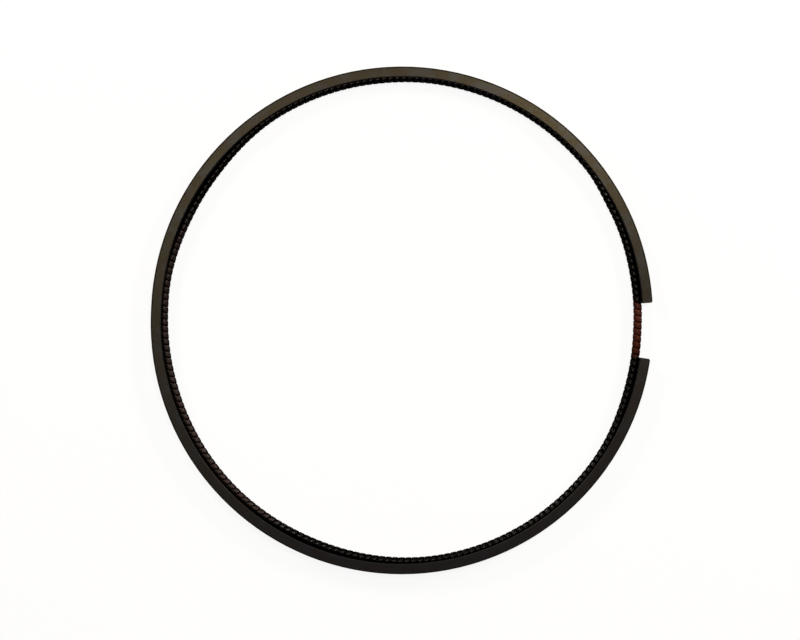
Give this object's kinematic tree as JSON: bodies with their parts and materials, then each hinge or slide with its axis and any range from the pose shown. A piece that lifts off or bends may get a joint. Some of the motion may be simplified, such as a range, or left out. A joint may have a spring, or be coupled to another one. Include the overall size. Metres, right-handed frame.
{
  "type": "piston ring",
  "caption": "Spring-loaded oil control piston ring: a slotted split iron ring with two scraping lands, and a coil spring in its inner groove that presses it outwards.",
  "frame": {"origin": "centre of the underside, on the ring's axis", "axes": "+Z along the ring's axis, up from the side it lies on; +X towards the end gap"},
  "size_m": [0.1332, 0.1352, 0.004],
  "materials": {
    "ring_iron": "phosphated and ground",
    "spring_steel": "flattened wire, oil blackened",
    "joint_steel": "drawn wire, heat tinted"
  },
  "bodies": {
    "root": {"ring_body": "ring_iron", "coil_spring": "spring_steel", "joint_wire": "joint_steel"}
  },
  "joints": []
}
